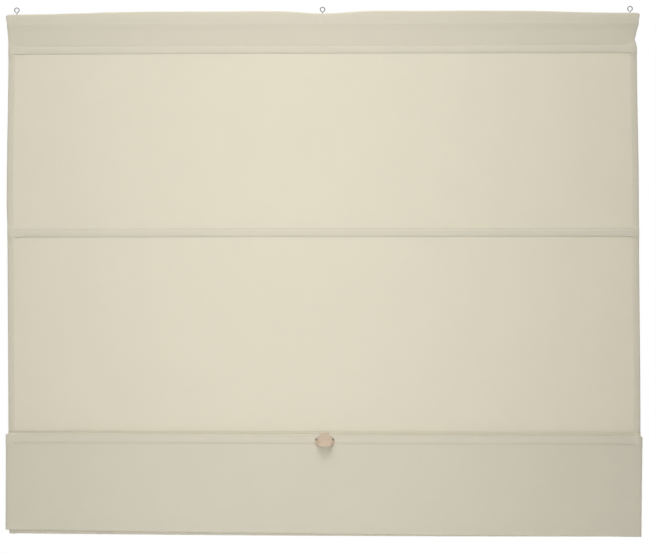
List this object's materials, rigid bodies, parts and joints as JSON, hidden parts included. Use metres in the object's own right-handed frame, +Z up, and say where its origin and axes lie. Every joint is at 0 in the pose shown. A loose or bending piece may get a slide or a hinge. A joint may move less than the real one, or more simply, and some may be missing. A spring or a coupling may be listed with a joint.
{
  "type": "roman blind",
  "caption": "Cloth roman blind with sewn-in battens, hung from wire screw eyes, its lowest batten and finger pull hooked up one level so that the hem hangs in front.",
  "frame": {"origin": "middle of the middle screw eye's ring", "axes": "+X to the right as seen from the room, +Y towards the window, +Z up"},
  "size_m": [1.4, 0.0425, 1.1693],
  "materials": {
    "blind_cloth": "plain-woven cream cloth",
    "tape_cloth": "plain-woven tape",
    "rail_wood": "planed softwood",
    "eye_steel": "zinc-plated wire",
    "rivet_steel": "plated steel",
    "batten_metal": "mill finish",
    "cap_plastic": "moulded, matt",
    "pull_plastic": "moulded, slightly see-through"
  },
  "bodies": {
    "head": {"head_rail": "rail_wood", "screw_eye_left": "eye_steel", "screw_eye_middle": "eye_steel", "screw_eye_right": "eye_steel", "top_casing": "blind_cloth", "batten_1": "batten_metal", "batten_1_cap_left": "cap_plastic", "batten_1_cap_right": "cap_plastic", "upper_panel": "blind_cloth"},
    "middle": {"middle_pocket": "blind_cloth", "pocket_tape_2": "tape_cloth", "batten_2": "batten_metal", "batten_2_cap_left": "cap_plastic", "batten_2_cap_right": "cap_plastic", "lower_panel": "blind_cloth"},
    "lower": {"bottom_fold": "blind_cloth", "pocket_tape_3": "tape_cloth", "pocket_tape_4": "tape_cloth", "batten_3": "batten_metal", "batten_3_cap_left": "cap_plastic", "batten_3_cap_right": "cap_plastic", "batten_4": "batten_metal", "batten_4_cap_left": "cap_plastic", "batten_4_cap_right": "cap_plastic", "finger_pull": "pull_plastic", "pull_rivet_left": "rivet_steel", "pull_rivet_right": "rivet_steel"}
  },
  "joints": [
    {"name": "middle_lift", "type": "slide", "parent": "head", "child": "middle", "axis": [0, -0.02, 0.9998], "range_m": [0, 0.406], "deforming": ["upper_panel"]},
    {"name": "lower_lift", "type": "slide", "parent": "middle", "child": "lower", "axis": [0, -0.02, 0.9998], "range_m": [0, 0.457], "deforming": ["lower_panel"]}
  ]
}
